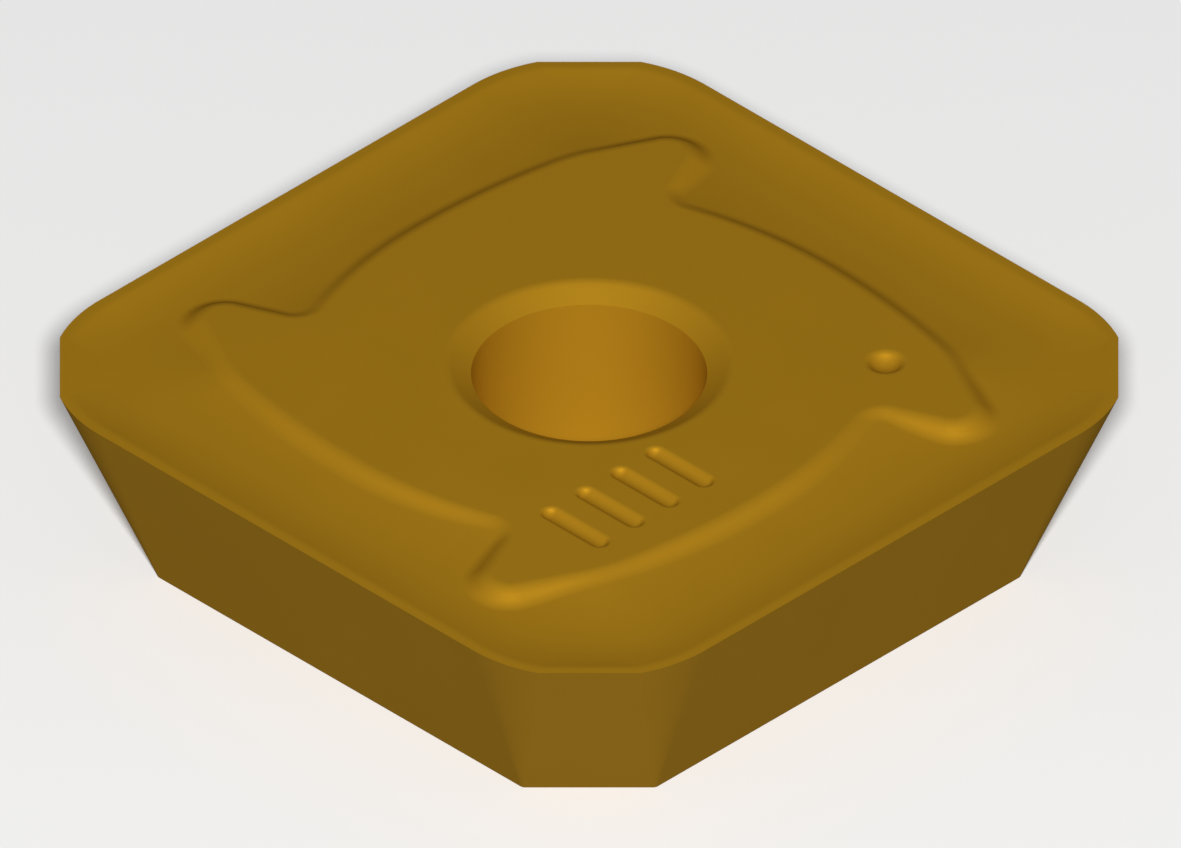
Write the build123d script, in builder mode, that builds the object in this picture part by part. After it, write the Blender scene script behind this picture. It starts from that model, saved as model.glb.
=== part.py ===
from build123d import *

import os
from math import cos, radians, sin, sqrt, tan

# Square milling insert of cemented carbide: one pressed and sintered piece with ground sides.
# Millimetres. The origin is on the seat, at the centre of the screw bore, with +Z towards the chip face.
# +X and +Y are the outward directions of two neighbouring sides.

# Blank: a square whose corners are cut by wiper flats. Sides and flats lean inwards towards the seat.
# Each side runs into its flats by a blend, which meets the flat at a kink on the cutting edge.
inscribed_circle = 12.7
wiper_cut = 1.138
edge_height = 3.10
side_clearance = 20.0
flat_clearance = 25.0
rim_blend_radius = 2.40
rim_kink = 18.0
seat_blend_radius = 0.10

# Chip groove: inside a level land the floor falls as an arc to its deepest line.
side_land = 0.17
flat_land = 0.15
groove_depth = 0.095
groove_reach = 0.98
groove_flat_reach = 1.00
groove_blend_radius = 1.00

# Mound: from the deepest line the floor rises slowly again, up to a level top hidden in the island.
rise_radius = 8.0
mound_top = 0.07
mound_corner_radius = 0.26

# Island: a pinwheel plateau with four ears, standing a little above the cutting edges.
# One quarter of its outline runs from a notch round the ear and the shoulder to the crown of the next side.
# Each corner of it is given by its distances in from the +X side and from the +Y side.
plateau_rise = 0.10
wall_slope = 34.0
wall_datum = 0.05
island_root = 0.03
notch_insets = (2.55, 4.22)
notch_radius = 0.35
ear_insets = (0.69, 3.38)
ear_radius = 0.45
shoulder_insets = (2.71, 2.35)
shoulder_radius = 2.5
crown_offset = 0.60
crown_inset = 2.025
crown_heading = 180.5
foot_blend = 0.25
crest_blend = 0.30

# Screw bore and its countersink.
bore_radius = 1.75
countersink_radius = 2.10
countersink_slope = 30.0
countersink_blend = 0.28

# Sunk marks in the plateau: a round index dimple towards one corner, and a row of plain tally bars.
dimple_inset = 3.45
dimple_radius = 0.27
dimple_depth = 0.135
dimple_blend = 0.16
bar_count = 4
bar_pitch = 0.73
bar_length = 1.30
bar_width = 0.30
bar_depth = 0.09
bar_wall_lean = 45.0
bar_middle = (2.85, -2.045)

QUARTER_TURNS = (0, 90, 180, 270)
PROFILE_STEPS = 5

half_width = inscribed_circle / 2
flat_reach = half_width * sqrt(2) - wiper_cut
plateau_height = edge_height + plateau_rise
mound_rise = groove_depth + mound_top
mound_reach = groove_reach + sqrt(2 * rise_radius * mound_rise - mound_rise**2)
notch, ear, shoulder = (
    (half_width - from_x, half_width - from_y)
    for from_x, from_y in (notch_insets, ear_insets, shoulder_insets)
)
crown = (crown_offset, half_width - crown_inset)


def turned(point, angle):
    """A point turned about the bore by angle degrees."""
    x, y = point
    c, s = cos(radians(angle)), sin(radians(angle))
    return (x * c - y * s, x * s + y * c)


def square_section(height, side, flat_length, corner_radius):
    """Section of the square: side is its half width, flat_length a wiper flat from corner to corner."""
    reach = side - flat_length / sqrt(2)
    corners = [turned(point, turn) for turn in QUARTER_TURNS for point in ((side, -reach), (side, reach))]
    with BuildSketch(Plane.XY.offset(height)) as section:
        with BuildLine():
            Polyline(*corners, close=True)
        make_face()
        fillet(section.vertices(), corner_radius)
    return section.sketch


def arc_rise(radius, run):
    """How far an arc that starts level has risen after a run."""
    return radius - sqrt(radius**2 - run**2)


def square_section(height, side, reach, blend_radius, kink):
    """Section of the square.

    side is its half width and reach the distance to a wiper flat. A blend leaves each side in its own
    direction, and meets the flat at an angle, kink.
    """
    turn = radians(45 - kink)
    flat_end = side * sqrt(2) - reach - sqrt(2) * blend_radius * (1 - cos(turn))
    far, near = (reach + flat_end) / sqrt(2), (reach - flat_end) / sqrt(2)
    side_end = near - blend_radius * sin(turn)
    with BuildSketch(Plane.XY.offset(height)) as section:
        with BuildLine():
            for angle in QUARTER_TURNS:
                points = [(side, -side_end), (side, side_end), (far, near), (near, far), (side_end, side)]
                a, b, c, d, e = (turned(point, angle) for point in points)
                Line(a, b)
                RadiusArc(b, c, -blend_radius)
                Line(c, d)
                RadiusArc(d, e, -blend_radius)
        make_face()
    return section.sketch


def groove_section(inset):
    """Section of the groove's outer floor at a distance inside the side's edge."""
    width = groove_reach - side_land
    radius = (width**2 + groove_depth**2) / (2 * groove_depth)
    share = (inset - side_land) / width
    land_radius = rim_blend_radius - side_land
    return square_section(
        edge_height - groove_depth + arc_rise(radius, groove_reach - inset),
        half_width - inset,
        flat_reach - flat_land - (groove_flat_reach - flat_land) * share,
        land_radius + (groove_blend_radius - land_radius) * share,
        rim_kink * (1 - share),
    )


def mound_section(inset):
    """Section of the mound at a distance inside the side's edge: a square with round corners."""
    height = edge_height - groove_depth + arc_rise(rise_radius, inset - groove_reach)
    width = 2 * (half_width - inset)
    with BuildSketch(Plane.XY.offset(height)) as section:
        RectangleRounded(width, width, mound_corner_radius + mound_reach - inset)
    return section.sketch


def evenly(first, last):
    """Evenly spaced insets from one to another."""
    return [first + (last - first) * step / PROFILE_STEPS for step in range(PROFILE_STEPS + 1)]


def island_section(rise):
    """Section of the island at a height above the cutting edges. Its wall slopes in towards the plateau."""
    height = edge_height + rise
    with BuildSketch(Plane.XY.offset(height)) as section:
        with BuildLine():
            for turn in QUARTER_TURNS:
                heading = Vector(*turned((1, 0), crown_heading + turn))
                Polyline(*[turned(point, turn) for point in (notch, ear, shoulder)])
                TangentArc(turned(crown, turn), turned(shoulder, turn), tangent=heading * -1)
                TangentArc(turned(crown, turn), turned(notch, turn + 90), tangent=heading)
        make_face()
        for corner, radius in ((notch, notch_radius), (ear, ear_radius), (shoulder, shoulder_radius)):
            places = [(*turned(corner, turn), height) for turn in QUARTER_TURNS]
            fillet([section.vertices().sort_by_distance(place)[0] for place in places], radius)
        offset(amount=(wall_datum - rise) / tan(radians(wall_slope)), mode=Mode.REPLACE)
    return section.sketch


with BuildPart() as insert:
    # Blank with its clearance angles.
    seat_side = half_width - edge_height * tan(radians(side_clearance))
    seat_flat = flat_reach - edge_height * tan(radians(flat_clearance))
    seat_section = square_section(0, seat_side, seat_flat, seat_blend_radius, 0)
    rim_section = square_section(edge_height, half_width, flat_reach, rim_blend_radius, rim_kink)
    loft([seat_section, rim_section], ruled=True)

    # Chip groove: a dish down to the deepest line, then a low mound that rises inside it.
    loft([groove_section(inset) for inset in evenly(side_land, groove_reach)], mode=Mode.SUBTRACT)
    loft([mound_section(inset) for inset in evenly(groove_reach, mound_reach)])

    # Island, with a hollow blend round its foot and a round one along its crest.
    loft([island_section(-groove_depth - island_root), island_section(plateau_rise)], ruled=True)
    fillet(insert.edges(Select.NEW), foot_blend)
    fillet(insert.faces().sort_by(Axis.Z)[-1].outer_wire().edges(), crest_blend)

    # Screw bore through the middle, countersunk from the plateau.
    with Locations((0, 0, plateau_height)):
        CounterSinkHole(bore_radius, countersink_radius, counter_sink_angle=180 - 2 * countersink_slope)
    rings = insert.edges().filter_by(lambda edge: edge.is_closed).sort_by(Axis.Z)
    fillet(rings[-1], countersink_blend)

    # Index dimple: the print of a ball, with a soft edge.
    dimple_place = turned((flat_reach - dimple_inset, 0), 45)
    ball_radius = (dimple_radius**2 + dimple_depth**2) / (2 * dimple_depth)
    with Locations((*dimple_place, plateau_height - dimple_depth + ball_radius)):
        Sphere(ball_radius, mode=Mode.SUBTRACT)
    fillet(insert.edges(Select.NEW), dimple_blend)

    # Tally bars with rounded ends and walls that lean outwards.
    with BuildSketch(Plane.XY.offset(plateau_height)):
        with Locations(bar_middle):
            with GridLocations(bar_pitch, bar_pitch, 1, bar_count):
                SlotOverall(bar_length, bar_width)
    extrude(amount=-bar_depth, taper=bar_wall_lean, mode=Mode.SUBTRACT)

insert.part.label = "insert"

os.makedirs("parts", exist_ok=True)
export_step(insert.part, "parts/insert.step")
print(insert.part.label, "volume", round(insert.part.volume, 2), "mm3, faces", len(insert.faces()))
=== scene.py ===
"""Blender model of a coated cemented carbide milling insert, on a pale studio floor."""

import logging
import math
from dataclasses import dataclass, field
from enum import Enum

import bpy
import numpy as np
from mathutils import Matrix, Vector
from mathutils.geometry import delaunay_2d_cdt


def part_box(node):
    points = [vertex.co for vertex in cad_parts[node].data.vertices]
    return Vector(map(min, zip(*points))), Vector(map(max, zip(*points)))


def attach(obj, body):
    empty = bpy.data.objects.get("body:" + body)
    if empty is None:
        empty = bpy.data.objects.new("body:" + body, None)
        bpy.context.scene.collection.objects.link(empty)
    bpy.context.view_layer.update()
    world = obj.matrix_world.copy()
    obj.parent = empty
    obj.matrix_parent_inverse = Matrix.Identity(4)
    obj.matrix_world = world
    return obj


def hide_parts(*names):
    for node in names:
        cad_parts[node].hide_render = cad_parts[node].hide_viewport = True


MM = 0.001
QUARTER = math.pi / 2

# Each quarter of a square section is a side, a blend, a wiper flat and a blend.
STRETCHES = 4
PLACES = 4 * STRETCHES

# Blender's triangulation: keep what lies inside the outer loop, and join points closer than this.
INSIDE_ONLY = 1
CLOSENESS = 1e-9

log = logging.getLogger("insert")
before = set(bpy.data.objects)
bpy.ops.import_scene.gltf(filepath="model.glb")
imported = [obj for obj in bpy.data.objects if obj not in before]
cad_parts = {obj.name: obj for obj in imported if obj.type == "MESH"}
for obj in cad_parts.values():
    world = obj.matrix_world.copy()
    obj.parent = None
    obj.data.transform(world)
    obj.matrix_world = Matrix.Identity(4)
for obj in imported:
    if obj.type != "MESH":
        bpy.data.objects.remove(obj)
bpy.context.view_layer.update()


class Zone(Enum):
    """Surfaces of the insert that were made in different ways."""

    PRESSED = 0
    GROUND = 1


def linear(hex_colour: str) -> tuple[float, float, float, float]:
    """Turns an sRGB hex colour into linear RGBA.

    Args:
        hex_colour: Six hex digits, such as "BC8A18".

    Returns:
        The colour in linear light, with alpha 1.
    """
    channels = [int(hex_colour[i : i + 2], 16) / 255 for i in (0, 2, 4)]
    red, green, blue = (
        c / 12.92 if c <= 0.04045 else ((c + 0.055) / 1.055) ** 2.4 for c in channels
    )
    return red, green, blue, 1.0


def add_node(
    tree: bpy.types.NodeTree,
    kind: str,
    links: dict | None = None,
    values: dict | None = None,
    **settings: object,
) -> bpy.types.Node:
    """Adds a node with its settings, socket values and incoming links.

    Args:
        tree: Node tree to add to.
        kind: Blender's name of the node type.
        links: Input name or number to the output socket that feeds it.
        values: Input name or number to its value.
        **settings: Properties of the node itself.

    Returns:
        The new node.
    """
    node = tree.nodes.new(kind)
    for name, value in settings.items():
        setattr(node, name, value)
    for name, value in (values or {}).items():
        node.inputs[name].default_value = value
    for name, socket in (links or {}).items():
        tree.links.new(socket, node.inputs[name])
    return node


# ---------------------------------------------------------------------------------------------
# Finishes
# ---------------------------------------------------------------------------------------------


@dataclass(frozen=True)
class CoatedCarbide:
    """Cemented carbide under a thin gold-coloured nitride coating, as pressed and sintered.

    The coating is satin: it gives the eye an even ochre gold that glows a little where the surface
    faces the light, with a very faint clouding of colour and gloss. The grain of sintered carbide
    is a few thousandths of a millimetre at most. That is too fine to show, so its relief is drawn
    at relief_grain_mm, which is coarser.
    """

    name: str = "coated_cemented_carbide_as_sintered"
    light: str = "CE9A23"
    dark: str = "CA9721"
    metallic: float = 0.34
    roughness: float = 0.62
    clear_gloss: float = 0.0
    gloss_spread: float = 0.03
    cloud_mm: float = 1.6
    relief_grain_mm: tuple[float, float, float] = (0.05, 0.05, 0.05)
    relief_mm: float = 0.0006

    def relief(
        self, tree: bpy.types.NodeTree, place: bpy.types.NodeSocket
    ) -> bpy.types.NodeSocket:
        """Draws the fine relief in object space.

        Args:
            tree: Node tree to add to.
            place: Socket that gives the place on the object.

        Returns:
            The socket that gives the normals.
        """
        pattern = add_node(tree, "ShaderNodeMapping", {"Vector": place},
                           {"Scale": [1 / (grain * MM) for grain in self.relief_grain_mm]})
        grain = add_node(tree, "ShaderNodeTexNoise", {"Vector": pattern.outputs[0]},
                         {"Scale": 1.0, "Detail": 2.0, "Roughness": 0.6})
        bump = add_node(tree, "ShaderNodeBump", {"Height": grain.outputs["Fac"]},
                        {"Strength": 1.0, "Distance": self.relief_mm * MM})
        return bump.outputs["Normal"]

    def material(self) -> bpy.types.Material:
        """Builds the material.

        Returns:
            The material.
        """
        made = bpy.data.materials.new(self.name)
        made.use_nodes = True
        tree = made.node_tree
        tree.nodes.clear()
        place = add_node(tree, "ShaderNodeTexCoord").outputs["Object"]
        cloud = add_node(tree, "ShaderNodeTexNoise", {"Vector": place},
                         {"Scale": 1 / (self.cloud_mm * MM), "Detail": 3.0, "Roughness": 0.5})
        cloud = cloud.outputs["Fac"]
        # Inputs 6 and 7 are the two colours that the node mixes.
        colour = add_node(tree, "ShaderNodeMix", {"Factor": cloud}, data_type="RGBA")
        colour.inputs[6].default_value = linear(self.dark)
        colour.inputs[7].default_value = linear(self.light)
        gloss = add_node(tree, "ShaderNodeMapRange", {"Value": cloud},
                         {"To Min": self.roughness - self.gloss_spread,
                          "To Max": self.roughness + self.gloss_spread})
        shader = add_node(tree, "ShaderNodeBsdfPrincipled",
                          {"Base Color": colour.outputs[2], "Roughness": gloss.outputs["Result"],
                           "Normal": self.relief(tree, place)},
                          {"Metallic": self.metallic, "Specular IOR Level": self.clear_gloss})
        add_node(tree, "ShaderNodeOutputMaterial", {"Surface": shader.outputs["BSDF"]})
        return made


@dataclass(frozen=True)
class GroundCarbidePaintedShade(CoatedCarbide):
    """The same coating over the ground sides and wiper flats.

    The wheel leaves fine lines along the cutting edges, which scatter the light, so the finish has
    hardly any gloss. Its gold is darker and slightly greyer than the chip face's: the darkness is
    painted shade, so that the sides below the cutting edge render as dark as they look in shade.
    Real lines lie closer together and wouldn't show, so they are drawn 0.035 mm apart.
    """

    name: str = "coated_cemented_carbide_ground_painted_shade"
    # Painted shade: the sides' gold is set darker than the chip face's to stand in for their shade.
    light: str = "A37A20"
    dark: str = "9E761F"
    metallic: float = 0.04
    relief_grain_mm: tuple[float, float, float] = (1.2, 1.2, 0.035)
    relief_mm: float = 0.0004


@dataclass(frozen=True)
class StudioFloor:
    """Matt paper floor: a pale ground that keeps the insert's soft shadow.

    What is seen of it, also in gloss, is pale. The key light that it throws back onto the insert
    is that of a dark grey, so that the sides below the cutting edge keep the darker tone that is
    painted into their colour as shade. A glow of its own, for all rays, lifts its shadows and
    lights the sides that face away from the key light.
    """

    name: str = "matt_white_paper"
    seen: str = "FFFFFF"
    thrown: str = "4C4B49"
    glow: float = 0.25

    def material(self) -> bpy.types.Material:
        """Builds the material.

        Returns:
            The material.
        """
        made = bpy.data.materials.new(self.name)
        made.use_nodes = True
        tree = made.node_tree
        tree.nodes.clear()
        path = add_node(tree, "ShaderNodeLightPath").outputs
        gloss = add_node(tree, "ShaderNodeMath",
                         {0: path["Is Glossy Ray"], 1: path["Is Transmission Ray"]},
                         operation="ADD")
        viewed = add_node(tree, "ShaderNodeMath", {0: path["Is Camera Ray"], 1: gloss.outputs[0]},
                          operation="ADD", use_clamp=True)
        thrown = add_node(tree, "ShaderNodeBsdfDiffuse", values={"Color": linear(self.thrown)})
        paper = add_node(tree, "ShaderNodeBsdfDiffuse", values={"Color": linear(self.seen)})
        matt = add_node(tree, "ShaderNodeMixShader",
                        {0: viewed.outputs[0], 1: thrown.outputs[0], 2: paper.outputs[0]})
        glow = add_node(tree, "ShaderNodeEmission",
                        values={"Color": linear(self.seen), "Strength": self.glow})
        ground = add_node(tree, "ShaderNodeAddShader", {0: matt.outputs[0], 1: glow.outputs[0]})
        add_node(tree, "ShaderNodeOutputMaterial", {"Surface": ground.outputs[0]})
        return made


# ---------------------------------------------------------------------------------------------
# Plane geometry of the outlines, in millimetres
# ---------------------------------------------------------------------------------------------


def turned(points: np.ndarray, angle: float) -> np.ndarray:
    """Points turned about the bore by an angle in radians."""
    c, s = math.cos(angle), math.sin(angle)
    return points @ np.array([[c, s], [-s, c]])


def unit(vector: np.ndarray) -> np.ndarray:
    """The vector at length 1."""
    return vector / np.linalg.norm(vector)


def left_of(direction: np.ndarray) -> np.ndarray:
    """The direction turned a quarter turn to the left."""
    return np.array([-direction[1], direction[0]])


@dataclass(frozen=True)
class Line:
    """Straight stretch of an outline."""

    start: np.ndarray
    end: np.ndarray

    def length(self) -> float:
        """Its length."""
        return float(np.linalg.norm(self.end - self.start))

    def sample(self, share: np.ndarray) -> tuple[np.ndarray, np.ndarray]:
        """Points and headings at shares of the length."""
        along = unit(self.end - self.start)
        return self.start + np.outer(share * self.length(), along), np.tile(along, (len(share), 1))

    def trimmed(self, start: np.ndarray, end: np.ndarray) -> "Line":
        """The same line between two other points on it."""
        return Line(start, end)

    def foot(self, point: np.ndarray) -> np.ndarray:
        """The nearest point of the endless line."""
        along = unit(self.end - self.start)
        return self.start + along * float((point - self.start) @ along)


@dataclass(frozen=True)
class Arc:
    """Round stretch of an outline.

    It runs to the left about its centre, or to the right if sweep is negative.
    """

    centre: np.ndarray
    radius: float
    first: float
    sweep: float

    @staticmethod
    def between(
        centre: np.ndarray, start: np.ndarray, end: np.ndarray, leftward: bool = True
    ) -> "Arc":
        """Makes the arc about a centre from one point to another.

        Args:
            centre: Centre of the arc.
            start: Where it starts.
            end: Where it ends.
            leftward: Whether it runs to the left about its centre.

        Returns:
            The arc.
        """
        first = math.atan2(*(start - centre)[::-1])
        last = math.atan2(*(end - centre)[::-1])
        sweep = (last - first) % (2 * math.pi) if leftward else -((first - last) % (2 * math.pi))
        return Arc(centre, float(np.linalg.norm(start - centre)), first, sweep)

    def length(self) -> float:
        """Its length."""
        return abs(self.sweep) * self.radius

    def sample(self, share: np.ndarray) -> tuple[np.ndarray, np.ndarray]:
        """Finds points along the arc.

        Args:
            share: Shares of the length, from 0 to 1.

        Returns:
            The points and the headings there.
        """
        angle = self.first + share * self.sweep
        out = np.stack([np.cos(angle), np.sin(angle)], axis=1)
        side = math.copysign(1.0, self.sweep)
        return self.centre + out * self.radius, np.stack([-out[:, 1], out[:, 0]], axis=1) * side

    def trimmed(self, start: np.ndarray, end: np.ndarray) -> "Arc":
        """The same arc between two other points on it."""
        return Arc.between(self.centre, start, end, self.sweep > 0)

    def foot(self, point: np.ndarray) -> np.ndarray:
        """The nearest point of the whole circle."""
        return self.centre + unit(point - self.centre) * self.radius


def tangent_arc(start: np.ndarray, heading: np.ndarray, end: np.ndarray) -> Arc:
    """The arc that leaves a point along a heading and ends in another point.

    Args:
        start: Where the arc starts.
        heading: Its direction there.
        end: Where it ends.

    Returns:
        The arc, turning to whichever side the end lies on.
    """
    chord = end - start
    side = left_of(heading)
    radius = float(chord @ chord) / (2 * float(chord @ side))
    return Arc.between(start + side * radius, start, end, radius > 0)


def offset_meets(
    first: Line | Arc, second: Line | Arc, distance: float, near: np.ndarray
) -> np.ndarray:
    """Finds the point that lies at a distance to the left of two stretches.

    Args:
        first: The stretch before the corner.
        second: The stretch after it. One of the two at least is a line.
        distance: How far to their left the point lies, below 0 for the right.
        near: The corner. Of two possible points, the one nearer to it is taken.

    Returns:
        The point.
    """

    def shifted_line(line: Line) -> tuple[np.ndarray, np.ndarray]:
        """A point and the heading of the line, moved to the left by the distance."""
        along = unit(line.end - line.start)
        return line.start + left_of(along) * distance, along

    if isinstance(first, Line) and isinstance(second, Line):
        (p, a), (q, b) = shifted_line(first), shifted_line(second)
        reach = np.linalg.solve(np.stack([a, -b], axis=1), q - p)[0]
        return p + a * reach
    line, arc = (first, second) if isinstance(first, Line) else (second, first)
    p, a = shifted_line(line)
    radius = arc.radius - distance
    middle = float((arc.centre - p) @ a)
    gap = p + a * middle - arc.centre
    half = math.sqrt(radius**2 - float(gap @ gap))
    both = [p + a * (middle + sign * half) for sign in (-1, 1)]
    return min(both, key=lambda point: float(np.linalg.norm(point - near)))


@dataclass(frozen=True)
class Outline:
    """Closed outline of lines and arcs, run to the left about the bore."""

    stretches: tuple[Line | Arc, ...]

    def sample(self, count: int) -> tuple[np.ndarray, np.ndarray]:
        """Evenly spaced points and the directions that point out of the outline.

        Args:
            count: Number of points.

        Returns:
            The points and the outward normals.
        """
        ends = np.cumsum([0.0] + [stretch.length() for stretch in self.stretches])
        places = np.arange(count) / count * ends[-1]
        points, normals = np.empty((count, 2)), np.empty((count, 2))
        for i, stretch in enumerate(self.stretches):
            here = (places >= ends[i]) & (places < ends[i + 1])
            at, heading = stretch.sample((places[here] - ends[i]) / stretch.length())
            points[here] = at
            normals[here] = np.stack([heading[:, 1], -heading[:, 0]], axis=1)
        return points, normals


def rounded(corners: list[tuple[Line | Arc, float]]) -> Outline:
    """Rounds the corner at the end of each stretch.

    Args:
        corners: Stretches in order, each with the radius of the blend at its end: above 0 for a
            corner that turns left, below 0 for one that turns right, and 0 for no blend.

    Returns:
        The closed outline.
    """
    count = len(corners)
    starts: list[np.ndarray] = [stretch.sample(np.array([0.0]))[0][0] for stretch, _ in corners]
    ends = [starts[(i + 1) % count] for i in range(count)]
    blends: list[Arc | None] = []
    for i, (stretch, radius) in enumerate(corners):
        after = (i + 1) % count
        if radius == 0:
            blends.append(None)
            continue
        centre = offset_meets(stretch, corners[after][0], radius, ends[i])
        ends[i], starts[after] = stretch.foot(centre), corners[after][0].foot(centre)
        blends.append(Arc.between(centre, ends[i], starts[after], radius > 0))
    made: list[Line | Arc] = []
    for i, (stretch, _) in enumerate(corners):
        made.append(stretch.trimmed(starts[i], ends[i]))
        if blends[i] is not None:
            made.append(blends[i])
    return Outline(tuple(made))


# ---------------------------------------------------------------------------------------------
# Forms of the insert, in millimetres
# ---------------------------------------------------------------------------------------------


def arc_rise(radius: float, run: np.ndarray) -> np.ndarray:
    """How far an arc that starts level has risen after a run."""
    return radius - np.sqrt(radius**2 - run**2)


def soft_least(a: np.ndarray, b: np.ndarray, softness: float) -> np.ndarray:
    """The lesser of two heights, blended where they differ by less than softness."""
    nearness = np.maximum(softness - np.abs(a - b), 0.0) / softness
    return np.minimum(a, b) - nearness**2 * softness / 4


@dataclass(frozen=True)
class SquareSection:
    """Level section of the square: sides, wiper flats, and the blends between them.

    A blend leaves each side in the side's own direction, and meets the flat at an angle, kink.
    The sizes may be single numbers, or arrays with one value for each point that is asked about.
    """

    side: np.ndarray | float
    reach: np.ndarray | float
    blend: np.ndarray | float
    kink: np.ndarray | float

    def turn(self) -> np.ndarray | float:
        """Angle that a blend turns through."""
        return math.pi / 4 - np.radians(self.kink)

    def flat_half(self) -> np.ndarray | float:
        """Half the length of a wiper flat."""
        blend_loss = math.sqrt(2) * self.blend * (1 - np.cos(self.turn()))
        return self.side * math.sqrt(2) - self.reach - blend_loss

    def side_half(self) -> np.ndarray | float:
        """Half the length of a side's straight stretch."""
        return (self.reach - self.flat_half()) / math.sqrt(2) - self.blend * np.sin(self.turn())

    def at(self, place: np.ndarray) -> np.ndarray:
        """Points of the section.

        Args:
            place: Where along the section each point lies, from 0 to PLACES. In each quarter come
                a side, a blend, a flat and a blend, each a stretch of 1.

        Returns:
            The points.
        """
        place = np.asarray(place, float) % PLACES
        stretch = np.floor(place).astype(int)
        share, kind = place - stretch, stretch % STRETCHES
        quarter = (stretch // STRETCHES) * QUARTER
        along_side = self.side_half() * (2 * share - 1)
        along_flat = self.flat_half() * (2 * share - 1)
        on_side = np.stack([np.full_like(share, self.side), along_side])
        on_flat = np.stack([self.reach - along_flat, self.reach + along_flat]) / math.sqrt(2)
        first = self.turn() * share
        hub, out = self.side - self.blend, self.side_half()
        on_first = np.stack([hub + self.blend * np.cos(first), out + self.blend * np.sin(first)])
        second = math.pi / 2 - self.turn() * (1 - share)
        on_second = np.stack([out + self.blend * np.cos(second), hub + self.blend * np.sin(second)])
        kinds = [kind == 0, kind == 1, kind == 2]
        x, y = np.select(kinds, [on_side, on_first, on_flat], on_second)
        c, s = np.cos(quarter), np.sin(quarter)
        return np.stack([x * c - y * s, x * s + y * c], axis=1)

    def leaves_out(self, u: np.ndarray, v: np.ndarray) -> np.ndarray:
        """Tells which points lie outside the section.

        Args:
            u: The greater of |x| and |y| of each point.
            v: The lesser of the two.

        Returns:
            Whether each point lies outside.
        """
        out_v = v - self.side_half()
        past_blend = (out_v > 0) & (np.hypot(u - self.side + self.blend, out_v) > self.blend)
        return (u > self.side) | ((u + v) / math.sqrt(2) > self.reach) | past_blend


@dataclass
class Blank:
    """The square with its wiper flats and clearance angles."""

    half_width: float
    wiper_cut: float = 1.138
    edge_height: float = 3.10
    side_clearance: float = 20.0
    flat_clearance: float = 25.0
    rim_blend: float = 2.40
    rim_kink: float = 18.0
    seat_blend: float = 0.10

    def flat_reach(self) -> float:
        """Distance from the bore's axis to a wiper flat, at the cutting edges."""
        return self.half_width * math.sqrt(2) - self.wiper_cut

    def rim(self) -> SquareSection:
        """The cutting edge."""
        return SquareSection(self.half_width, self.flat_reach(), self.rim_blend, self.rim_kink)

    def seat(self) -> SquareSection:
        """Works out the outline of the seat from the clearance angles.

        Returns:
            The section.
        """
        side = self.half_width - self.edge_height * math.tan(math.radians(self.side_clearance))
        reach = self.flat_reach() - self.edge_height * math.tan(math.radians(self.flat_clearance))
        return SquareSection(side, reach, self.seat_blend, 0.0)

    def skirt(self, place: np.ndarray, share: float) -> np.ndarray:
        """Points between the cutting edge, at share 0, and the seat, at share 1."""
        level = self.rim().at(place) * (1 - share) + self.seat().at(place) * share
        return np.column_stack([level, np.full(len(level), self.edge_height * (1 - share))])


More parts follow.
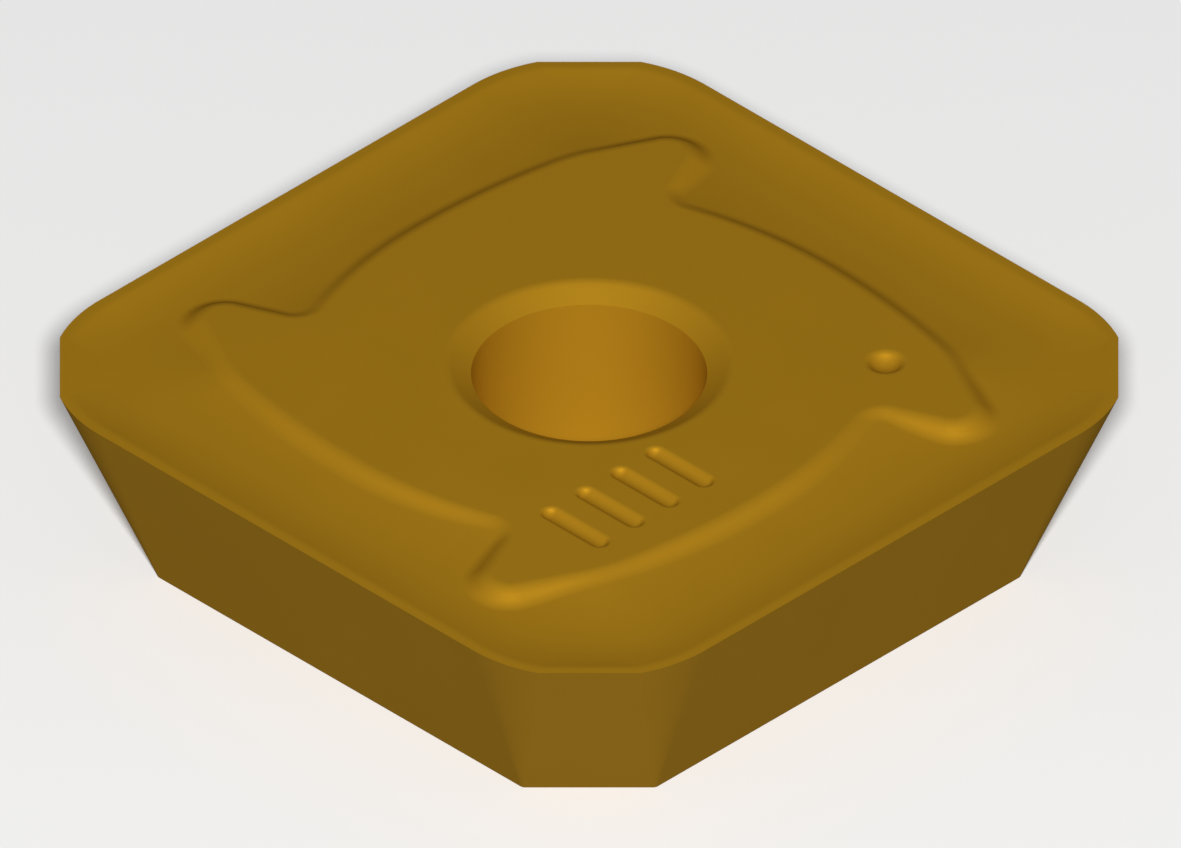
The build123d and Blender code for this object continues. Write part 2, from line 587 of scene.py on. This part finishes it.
@dataclass
class ChipGroove:
    """The floor between the cutting edge and the island.

    It has a level land, a dish, and a low mound in the dish.
    """

    blank: Blank
    side_land: float = 0.17
    flat_land: float = 0.15
    land_softness: float = 0.013
    depth: float = 0.095
    reach: float = 0.98
    flat_reach: float = 1.00
    blend: float = 1.00
    rise_radius: float = 8.0
    mound_top: float = 0.07
    mound_corner: float = 0.26
    halvings: int = 24
    place_steps: int = 2048

    def mound_reach(self) -> float:
        """Inset at which the mound reaches its level top, inside the island."""
        climb = self.depth + self.mound_top
        return self.reach + math.sqrt(2 * self.rise_radius * climb - climb**2)

    def dish(self, inset: np.ndarray | float) -> SquareSection:
        """Works out a level section of the dish.

        Args:
            inset: How far inside the side's edge it lies. Under the land, where this is less than
                side_land, the dish goes on rising.

        Returns:
            The section.
        """
        share = (inset - self.side_land) / (self.reach - self.side_land)
        land_blend = self.blank.rim_blend - self.side_land
        return SquareSection(
            self.blank.half_width - inset,
            self.blank.flat_reach() - self.flat_land - (self.flat_reach - self.flat_land) * share,
            land_blend + (self.blend - land_blend) * share,
            self.blank.rim_kink * (1 - share),
        )

    def place_at(self, angle: np.ndarray) -> np.ndarray:
        """Finds places round the land's inner edge.

        Args:
            angle: Angles about the bore, in radians.

        Returns:
            The places.
        """
        place = np.linspace(0.0, PLACES, self.place_steps + 1)
        line = self.dish(self.side_land).at(place[:-1])
        along = np.unwrap(np.arctan2(line[:, 1], line[:, 0]))
        along = np.append(along, along[0] + 2 * math.pi)
        return np.interp((angle - along[0]) % (2 * math.pi) + along[0], along, place)

    def dish_inset(self, points: np.ndarray) -> np.ndarray:
        """Finds the dish's section through each point by halving.

        Args:
            points: The points.

        Returns:
            The inset of the section through each.
        """
        far = np.abs(points)
        u, v = far.max(axis=1), far.min(axis=1)
        low, high = np.zeros(len(points)), np.full(len(points), self.reach)
        for _ in range(self.halvings):
            middle = (low + high) / 2
            outside = self.dish(middle).leaves_out(u, v)
            high, low = np.where(outside, middle, high), np.where(outside, low, middle)
        return (low + high) / 2

    def mound_inset(self, points: np.ndarray) -> np.ndarray:
        """Works out the mound's section through each point.

        Args:
            points: The points.

        Returns:
            The inset of the section through each.
        """
        far = np.abs(points)
        u, v = far.max(axis=1), far.min(axis=1)
        hub = self.blank.half_width - self.mound_reach() - self.mound_corner
        run = np.where(v > hub, np.hypot(u - hub, v - hub), u - hub)
        return self.blank.half_width - hub - run

    def floor(self, points: np.ndarray) -> np.ndarray:
        """Works out the floor, with the land's inner edge rounded over.

        Args:
            points: The points.

        Returns:
            The height against the cutting edge at each.
        """
        width = self.reach - self.side_land
        dish_radius = (width**2 + self.depth**2) / (2 * self.depth)
        dish = arc_rise(dish_radius, self.reach - self.dish_inset(points))
        inset = self.mound_inset(points)
        climb = np.clip(inset, self.reach, self.mound_reach()) - self.reach
        floor = dish + arc_rise(self.rise_radius, climb) - self.depth
        softened = soft_least(floor, np.zeros(len(floor)), self.land_softness)
        return np.where(inset < self.reach, softened, floor)


@dataclass
class Island:
    """The pinwheel plateau with its four ears."""

    half_width: float
    rise: float = 0.10
    wall_slope: float = 34.0
    wall_datum: float = 0.05
    notch_insets: tuple[float, float] = (2.55, 4.22)
    notch_radius: float = 0.35
    ear_insets: tuple[float, float] = (0.69, 3.38)
    ear_radius: float = 0.45
    shoulder_insets: tuple[float, float] = (2.71, 2.35)
    shoulder_radius: float = 2.5
    crown_offset: float = 0.60
    crown_inset: float = 2.025
    crown_heading: float = 180.5
    crest_softness: float = 0.070
    foot_softness: float = 0.062
    inner_margin: float = 0.22
    outer_margin: float = 0.335

    def outline(self) -> Outline:
        """Draws the line round the wall where it passes wall_datum above the cutting edges.

        Returns:
            The outline.
        """
        notch, ear, shoulder = (
            self.half_width - np.array(insets)
            for insets in (self.notch_insets, self.ear_insets, self.shoulder_insets)
        )
        crown = np.array([self.crown_offset, self.half_width - self.crown_inset])
        course = math.radians(self.crown_heading)
        heading = np.array([math.cos(course), math.sin(course)])
        back = tangent_arc(crown, -heading, shoulder)
        next_notch = turned(notch[None], QUARTER)[0]
        corners = np.array([notch, ear, shoulder, crown, next_notch])
        quarters: list[tuple[Line | Arc, float]] = []
        for quarter in range(4):
            angle = quarter * QUARTER
            inner, tip, bend, peak, next_inner = turned(corners, angle)
            along = turned(heading[None], angle)[0]
            centre = turned(back.centre[None], angle)[0]
            quarters += [
                (Line(inner, tip), self.ear_radius),
                (Line(tip, bend), self.shoulder_radius),
                (Arc.between(centre, bend, peak), 0.0),
                (tangent_arc(peak, along, next_inner), -self.notch_radius),
            ]
        return rounded(quarters)

    def wall(self, floor: np.ndarray, beyond: np.ndarray) -> np.ndarray:
        """Height against the cutting edge, with the wall blended into plateau and floor.

        Args:
            floor: Height of the groove's floor at each point.
            beyond: How far outside the outline each point lies.

        Returns:
            The height at each point.
        """
        slope = self.wall_datum - beyond * math.tan(math.radians(self.wall_slope))
        footed = -soft_least(-slope, -floor, self.foot_softness)
        return soft_least(footed, np.full_like(slope, self.rise), self.crest_softness)


# ---------------------------------------------------------------------------------------------
# The insert's surface
# ---------------------------------------------------------------------------------------------


@dataclass
class Surface:
    """Mesh under construction, in millimetres."""

    points: list[np.ndarray] = field(default_factory=list)
    faces: list[tuple[int, ...]] = field(default_factory=list)
    zones: list[Zone] = field(default_factory=list)
    level: list[int] = field(default_factory=list)
    creases: set[tuple[int, int]] = field(default_factory=set)
    count: int = 0

    def ring(self, points: np.ndarray) -> np.ndarray:
        """Adds vertices.

        Args:
            points: Where they lie.

        Returns:
            Their numbers.
        """
        self.points.append(points)
        self.count += len(points)
        return np.arange(self.count - len(points), self.count)

    def band(self, first: np.ndarray, second: np.ndarray, zone: Zone = Zone.PRESSED) -> None:
        """Closes the strip between two rings of equal length.

        Args:
            first: One ring.
            second: The other, which lies to the left of the first.
            zone: How the strip was made.
        """
        for a, b, c, d in zip(first, np.roll(first, -1), np.roll(second, -1), second):
            self.faces.append((int(a), int(b), int(c), int(d)))
            self.zones.append(zone)

    def crease(self, path: np.ndarray, closed: bool = True) -> None:
        """Marks a ring, or an open run of vertices, as a sharp edge."""
        after = np.roll(path, -1) if closed else path[1:]
        self.creases.update((int(min(pair)), int(max(pair))) for pair in zip(path, after))

    def cap(self, ring: np.ndarray, centre: np.ndarray) -> None:
        """Closes a ring to its centre.

        Args:
            ring: The ring.
            centre: Where its centre lies.
        """
        middle = int(self.ring(centre[None])[0])
        for a, b in zip(ring, np.roll(ring, -1)):
            self.faces.append((int(a), int(b), middle))
            self.zones.append(Zone.PRESSED)

    def flat(self, border: np.ndarray, holes: list[np.ndarray], upward: bool) -> None:
        """Fills a level area between a border and holes in it.

        Args:
            border: Outer ring.
            holes: Rings of the holes.
            upward: Whether the area faces up.
        """
        loops = [border, *holes]
        numbers = np.concatenate(loops)
        every = np.concatenate(self.points)
        flat_points = every[numbers][:, :2]
        ends = np.cumsum([0] + [len(loop) for loop in loops])
        edges = [
            (a + i, a + (i + 1) % (b - a))
            for a, b in zip(ends[:-1], ends[1:])
            for i in range(b - a)
        ]
        places = [Vector(point) for point in flat_points]
        triangles = delaunay_2d_cdt(places, edges, [], INSIDE_ONLY, CLOSENESS)[2]
        hole_loops = [every[hole][:, :2] for hole in holes]
        for triangle in triangles:
            middle = flat_points[list(triangle)].mean(axis=0)
            if any(encloses(hole, middle) for hole in hole_loops):
                continue
            a, b, c = (int(numbers[i]) for i in triangle)
            (ax, ay), (bx, by), (cx, cy) = (every[i][:2] for i in (a, b, c))
            leftward = (bx - ax) * (cy - ay) > (by - ay) * (cx - ax)
            self.level.append(len(self.faces))
            self.faces.append((a, b, c) if leftward == upward else (a, c, b))
            self.zones.append(Zone.PRESSED)


def encloses(loop: np.ndarray, point: np.ndarray) -> bool:
    """Tells whether a closed loop goes round a point.

    Args:
        loop: Points of the loop.
        point: The point.

    Returns:
        True if it does.
    """
    after = np.roll(loop, -1, axis=0)
    crosses = (loop[:, 1] > point[1]) != (after[:, 1] > point[1])
    rise = np.where(crosses, after[:, 1] - loop[:, 1], 1.0)
    where = loop[:, 0] + (point[1] - loop[:, 1]) / rise * (after[:, 0] - loop[:, 0])
    return bool(np.count_nonzero(crosses & (where > point[0])) % 2)


@dataclass
class ScrewBore:
    """The bore through the middle, with its countersink and the soft edge of its mouth."""

    radius: float = 1.75
    mouth_radius: float = 2.10
    slope: float = 30.0
    blend: float = 0.28
    segments: int = 192
    blend_steps: int = 7
    cone_steps: int = 3
    wall_steps: int = 4

    def profile(self, top: float) -> list[tuple[float, float]]:
        """Works out the rings of the mouth and cone, from the plateau down to the bore.

        Args:
            top: Height of the plateau.

        Returns:
            The radius and height of each ring.
        """
        tilt = math.radians(self.slope)
        hub = self.mouth_radius + self.blend * math.tan(tilt / 2)
        bends = [tilt * step / self.blend_steps for step in range(self.blend_steps + 1)]
        mouth = [
            (hub - self.blend * math.sin(bend), top - self.blend * (1 - math.cos(bend)))
            for bend in bends
        ]
        foot = (self.radius, top - (self.mouth_radius - self.radius) * math.tan(tilt))
        start, fall = np.array(mouth[-1]), np.array(foot) - mouth[-1]
        shares = [step / self.cone_steps for step in range(1, self.cone_steps + 1)]
        return mouth + [tuple(start + fall * share) for share in shares]

    def circle(self, radius: float, height: float) -> np.ndarray:
        """Works out the points of one ring.

        Args:
            radius: Its radius.
            height: Its height.

        Returns:
            The points.
        """
        angle = np.arange(self.segments) / self.segments * 2 * math.pi
        level = np.full(self.segments, height)
        return np.column_stack([radius * np.cos(angle), radius * np.sin(angle), level])

    def build(self, surface: Surface, top: float) -> tuple[np.ndarray, np.ndarray]:
        """Adds the bore.

        Args:
            surface: Surface to add to.
            top: Height of the plateau.

        Returns:
            Its rings in the plateau and in the seat.
        """
        rings = [surface.ring(self.circle(*size)) for size in self.profile(top)]
        bore_top = self.profile(top)[-1][1]
        surface.crease(rings[-1])
        for step in range(1, self.wall_steps + 1):
            height = bore_top * (1 - step / self.wall_steps)
            rings.append(surface.ring(self.circle(self.radius, height)))
        surface.crease(rings[-1])
        for outer, inner in zip(rings[:-1], rings[1:]):
            surface.band(outer, inner)
        return rings[0], rings[-1]


@dataclass
class BallMark:
    """Section of a mark that a ball-nosed tool would leave: a round hollow with a soft edge."""

    half_width: float
    depth: float
    edge: float
    edge_steps: int = 8
    hollow_steps: int = 12

    def steps(self) -> list[tuple[float, float]]:
        """Works out the section, from the edge inwards.

        Returns:
            Each step's distance from the middle line and its height against the plateau.
        """
        ball = (self.half_width**2 + self.depth**2) / (2 * self.depth)
        hub = ball - self.depth
        swing = math.acos((hub + self.edge) / (ball + self.edge))
        lip = (ball + self.edge) * math.sin(swing)
        rolls = [swing * step / self.edge_steps for step in range(self.edge_steps + 1)]
        made = [
            (lip - self.edge * math.sin(roll), self.edge * (math.cos(roll) - 1)) for roll in rolls
        ]
        falls = [swing * (1 - step / self.hollow_steps) for step in range(1, self.hollow_steps)]
        return made + [(ball * math.sin(fall), hub - ball * math.cos(fall)) for fall in falls]


@dataclass
class IndexDimple:
    """Small round dimple that tells one corner from the others."""

    inset: float = 3.45
    mark: BallMark = field(default_factory=lambda: BallMark(0.27, 0.135, 0.16))
    segments: int = 56

    def build(self, surface: Surface, flat_reach: float, top: float) -> np.ndarray:
        """Adds the dimple.

        Args:
            surface: Surface to add to.
            flat_reach: Distance from the bore's axis to a wiper flat.
            top: Height of the plateau.

        Returns:
            Its ring in the plateau.
        """
        middle = np.full(2, (flat_reach - self.inset) / math.sqrt(2))
        angle = np.arange(self.segments) / self.segments * 2 * math.pi
        out = np.column_stack([np.cos(angle), np.sin(angle)])
        rings = [
            surface.ring(np.column_stack([middle + out * run, np.full(self.segments, top + rise)]))
            for run, rise in self.mark.steps()
        ]
        for outer, inner in zip(rings[:-1], rings[1:]):
            surface.band(outer, inner)
        surface.cap(rings[-1], np.array([*middle, top - self.mark.depth]))
        return rings[0]


@dataclass
class TallyBars:
    """Row of plain sunk bars with rounded ends and floors."""

    middle: tuple[float, float] = (2.85, -2.045)
    count: int = 4
    pitch: float = 0.73
    length: float = 1.30
    mark: BallMark = field(default_factory=lambda: BallMark(0.145, 0.09, 0.09))
    end_segments: int = 18

    def stadium(self, centre: np.ndarray, radius: float, height: float) -> np.ndarray:
        """Works out a ring of points round the middle line of a bar.

        Args:
            centre: Middle of the bar.
            radius: Distance of the points from the middle line.
            height: Their height.

        Returns:
            The points.
        """
        angle = np.linspace(-math.pi / 2, math.pi / 2, self.end_segments + 1)
        half = self.length / 2 - self.mark.half_width
        right = np.column_stack([half + radius * np.cos(angle), radius * np.sin(angle)])
        both = np.concatenate([right, -right]) + centre
        return np.column_stack([both, np.full(len(both), height)])

    def build(self, surface: Surface, top: float) -> list[np.ndarray]:
        """Adds the bars.

        Args:
            surface: Surface to add to.
            top: Height of the plateau.

        Returns:
            Their rings in the plateau.
        """
        borders = []
        for number in range(self.count):
            centre = np.array(self.middle) + [0.0, (number - (self.count - 1) / 2) * self.pitch]
            rings = [
                surface.ring(self.stadium(centre, run, top + rise))
                for run, rise in self.mark.steps()
            ]
            for outer, inner in zip(rings[:-1], rings[1:]):
                surface.band(outer, inner)
            surface.flat(rings[-1], [], upward=True)
            borders.append(rings[0])
        return borders


@dataclass
class Insert:
    """The whole insert as one closed mesh.

    Each ring of the chip face and sides has round_count points. land_line is how far in from the
    cutting edge the land's own rings reach, as a multiple of side_land. The places on the land that
    face the island's foot are found from points facing_reach outside it, and are smoothed over
    even_out points to each side.
    """

    blank: Blank
    groove: ChipGroove
    island: Island
    bore: ScrewBore = field(default_factory=ScrewBore)
    dimple: IndexDimple = field(default_factory=IndexDimple)
    bars: TallyBars = field(default_factory=TallyBars)
    round_count: int = 1024
    wall_rings: int = 34
    groove_rings: int = 22
    land_rings: int = 8
    side_rings: int = 6
    even_out: int = 72
    facing_reach: float = 1.3
    land_line: float = 1.6

    def facing_places(self, points: np.ndarray) -> np.ndarray:
        """Finds places round the land, evened out so that none bunch up.

        Args:
            points: Points off the island's foot that the places face.

        Returns:
            The places.
        """
        even = np.arange(len(points)) / len(points) * 2 * math.pi
        lead = np.unwrap(np.arctan2(points[:, 1], points[:, 0])) - even
        weight = np.hanning(2 * self.even_out + 1)
        padded = np.concatenate([lead[-self.even_out :], lead, lead[: self.even_out]])
        eased = np.convolve(padded, weight / weight.sum(), mode="valid")
        place = self.groove.place_at(even + eased)
        for kink in self.kinks():
            place[np.argmin(np.abs(place - kink))] = kink
        return place

    @staticmethod
    def kinks() -> list[int]:
        """Places where a blend meets a wiper flat."""
        return [4 * quarter + end for quarter in range(4) for end in (2, 3)]

    def chip_face(self, surface: Surface) -> tuple[np.ndarray, np.ndarray, np.ndarray]:
        """Adds the island's wall, the groove and the land.

        Args:
            surface: Surface to add to.

        Returns:
            The plateau's border ring, the cutting edge's ring and its places.
        """
        edge = self.blank.edge_height
        line, outward = self.island.outline().sample(self.round_count)
        rings = []
        margins = -self.island.inner_margin, self.island.outer_margin
        for beyond in np.linspace(*margins, self.wall_rings):
            points = line + outward * beyond
            height = self.island.wall(self.groove.floor(points), np.full(len(points), beyond))
            rings.append(surface.ring(np.column_stack([points, edge + height])))
        foot = line + outward * self.island.outer_margin
        place = self.facing_places(foot + outward * self.facing_reach)
        land = self.groove.dish(self.groove.side_land * self.land_line).at(place)
        for share in np.arange(1, self.groove_rings + 1) / self.groove_rings:
            points = foot + (land - foot) * share
            rings.append(surface.ring(np.column_stack([points, edge + self.groove.floor(points)])))
        rim = self.blank.rim().at(place)
        for share in np.arange(1, self.land_rings) / self.land_rings:
            points = land + (rim - land) * share
            rings.append(surface.ring(np.column_stack([points, edge + self.groove.floor(points)])))
        rings.append(surface.ring(self.blank.skirt(place, 0.0)))
        surface.crease(rings[-1])
        for inner, outer in zip(rings[:-1], rings[1:]):
            surface.band(outer, inner)
        return rings[0], rings[-1], place

    def sides(self, surface: Surface, edge_ring: np.ndarray, place: np.ndarray) -> np.ndarray:
        """Adds the ground sides and flats below the cutting edge.

        Args:
            surface: Surface to add to.
            edge_ring: Ring of the cutting edge.
            place: Places of that ring's points.

        Returns:
            The seat's ring.
        """
        rings = [edge_ring]
        for step in range(1, self.side_rings + 1):
            rings.append(surface.ring(self.blank.skirt(place, step / self.side_rings)))
        for upper, lower in zip(rings[:-1], rings[1:]):
            surface.band(lower, upper, Zone.GROUND)
        surface.crease(rings[-1])
        for kink in self.kinks():
            surface.crease(np.array(rings)[:, np.argmin(np.abs(place - kink))], closed=False)
        return rings[-1]

    def surface(self) -> Surface:
        """Builds the whole surface.

        Returns:
            The surface.
        """
        made = Surface()
        top = self.blank.edge_height + self.island.rise
        border, edge_ring, place = self.chip_face(made)
        seat = self.sides(made, edge_ring, place)
        mouth, bore_foot = self.bore.build(made, top)
        dimple_edge = self.dimple.build(made, self.blank.flat_reach(), top)
        bar_edges = self.bars.build(made, top)
        made.flat(border, [mouth, dimple_edge, *bar_edges], upward=True)
        made.flat(seat, [bore_foot], upward=False)
        return made

    def build(self, finishes: dict[Zone, bpy.types.Material]) -> bpy.types.Object:
        """Builds the object.

        Args:
            finishes: Material of each zone.

        Returns:
            The object.
        """
        surface = self.surface()
        mesh = bpy.data.meshes.new("coated_insert")
        mesh.from_pydata((np.concatenate(surface.points) * MM).tolist(), [], surface.faces)
        for zone in Zone:
            mesh.materials.append(finishes[zone])
        mesh.polygons.foreach_set("material_index", [zone.value for zone in surface.zones])
        smooth = np.ones(len(surface.faces), dtype=bool)
        smooth[surface.level] = False
        mesh.polygons.foreach_set("use_smooth", smooth)
        mark = mesh.attributes.new("sharp_edge", "BOOLEAN", "EDGE")
        creased = [tuple(sorted(edge.vertices)) in surface.creases for edge in mesh.edges]
        mark.data.foreach_set("value", creased)
        mesh.update()
        piece = bpy.data.objects.new("coated_insert", mesh)
        bpy.context.scene.collection.objects.link(piece)
        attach(piece, "root")
        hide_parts("insert")
        return piece


# ---------------------------------------------------------------------------------------------
# Studio
# ---------------------------------------------------------------------------------------------


@dataclass
class Studio:
    """Pale floor, one key light from near the camera, and a faint even fill.

    The key light is a small disk, so its shadows have fairly soft edges. The camera sees the insert
    without perspective, from above one of its corners.
    """

    azimuth: float = 45.0
    elevation: float = 35.264
    frame_width: float = 17.498 * MM
    aim: tuple[float, float, float] = (0.0, 0.0, 3.10 * MM)
    shift_right: float = 0.0207 * MM
    shift_up: float = -0.8386 * MM
    camera_distance: float = 0.12
    key_distance: float = 0.30
    key_size: float = 0.025
    key_level: float = 0.82
    key_azimuth: float = 45.6
    key_elevation: float = 36.5
    fill_level: float = 0.10
    floor_width: float = 0.60

    @staticmethod
    def towards(azimuth: float, elevation: float) -> Vector:
        """Direction from the object to a viewer at an azimuth and elevation in degrees."""
        a, e = math.radians(azimuth), math.radians(elevation)
        return Vector((math.sin(a) * math.cos(e), -math.cos(a) * math.cos(e), math.sin(e)))

    def place_facing(
        self, thing: bpy.types.Object, target: Vector, back: Vector, distance: float
    ) -> None:
        """Places an object so that it faces a target.

        Args:
            thing: The object.
            target: What it faces.
            back: Direction from the target to the object.
            distance: How far from the target it stands.
        """
        thing.location = target + back * distance
        thing.rotation_euler = back.to_track_quat("Z", "Y").to_euler()
        bpy.context.scene.collection.objects.link(thing)

    def camera(self) -> None:
        """Adds the camera."""
        lens = bpy.data.cameras.new("camera")
        lens.type = "ORTHO"
        lens.ortho_scale = self.frame_width
        lens.clip_start, lens.clip_end = 0.001, 10.0
        back = self.towards(self.azimuth, self.elevation)
        right = Vector((0.0, 0.0, 1.0)).cross(back).normalized()
        target = Vector(self.aim) + right * self.shift_right + back.cross(right) * self.shift_up
        camera = bpy.data.objects.new("camera", lens)
        self.place_facing(camera, target, back, self.camera_distance)
        bpy.context.scene.camera = camera

    def lights(self) -> None:
        """Adds the key light and the world's fill."""
        lamp = bpy.data.lights.new("key", "AREA")
        lamp.shape = "DISK"
        lamp.size = self.key_size
        # The power at which white paper that faces the lamp should render at key_level.
        lamp.energy = self.key_level * math.pi**2 * self.key_distance**2
        back = self.towards(self.key_azimuth, self.key_elevation)
        key = bpy.data.objects.new("key", lamp)
        self.place_facing(key, Vector(self.aim), back, self.key_distance)
        world = bpy.data.worlds.new("studio_air")
        world.use_nodes = True
        tree = world.node_tree
        tree.nodes.clear()
        seen = add_node(tree, "ShaderNodeLightPath").outputs["Is Camera Ray"]
        level = add_node(tree, "ShaderNodeMapRange", {"Value": seen},
                         {"To Min": self.fill_level, "To Max": 1.0})
        air = add_node(tree, "ShaderNodeBackground", {"Strength": level.outputs["Result"]},
                       {"Color": (1.0, 1.0, 1.0, 1.0)})
        add_node(tree, "ShaderNodeOutputWorld", {"Surface": air.outputs["Background"]})
        bpy.context.scene.world = world

    def floor(self, finish: bpy.types.Material) -> None:
        """Adds the floor.

        Args:
            finish: Its material.
        """
        half = self.floor_width / 2
        mesh = bpy.data.meshes.new("floor")
        corners = [(-half, -half, 0.0), (half, -half, 0.0), (half, half, 0.0), (-half, half, 0.0)]
        mesh.from_pydata(corners, [], [(0, 1, 2, 3)])
        mesh.materials.append(finish)
        ground = bpy.data.objects.new("floor", mesh)
        bpy.context.scene.collection.objects.link(ground)

    def build(self) -> None:
        """Builds the camera, lights and floor."""
        bpy.context.scene.view_settings.view_transform = "Standard"
        self.camera()
        self.lights()
        self.floor(StudioFloor().material())


def main() -> None:
    """Builds the insert and its studio."""
    logging.basicConfig(level=logging.INFO, format="%(name)s: %(message)s")
    low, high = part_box("insert")
    half_width = (high[0] - low[0]) / 2 / MM
    blank = Blank(half_width)
    insert = Insert(blank, ChipGroove(blank), Island(half_width))
    # The ground sides get the darker finish, whose colour carries painted shade.
    finishes = {Zone.PRESSED: CoatedCarbide().material(), Zone.GROUND: GroundCarbidePaintedShade().material()}
    piece = insert.build(finishes)
    log.info("insert: %d faces", len(piece.data.polygons))
    Studio().build()


if __name__ == "__main__":
    main()
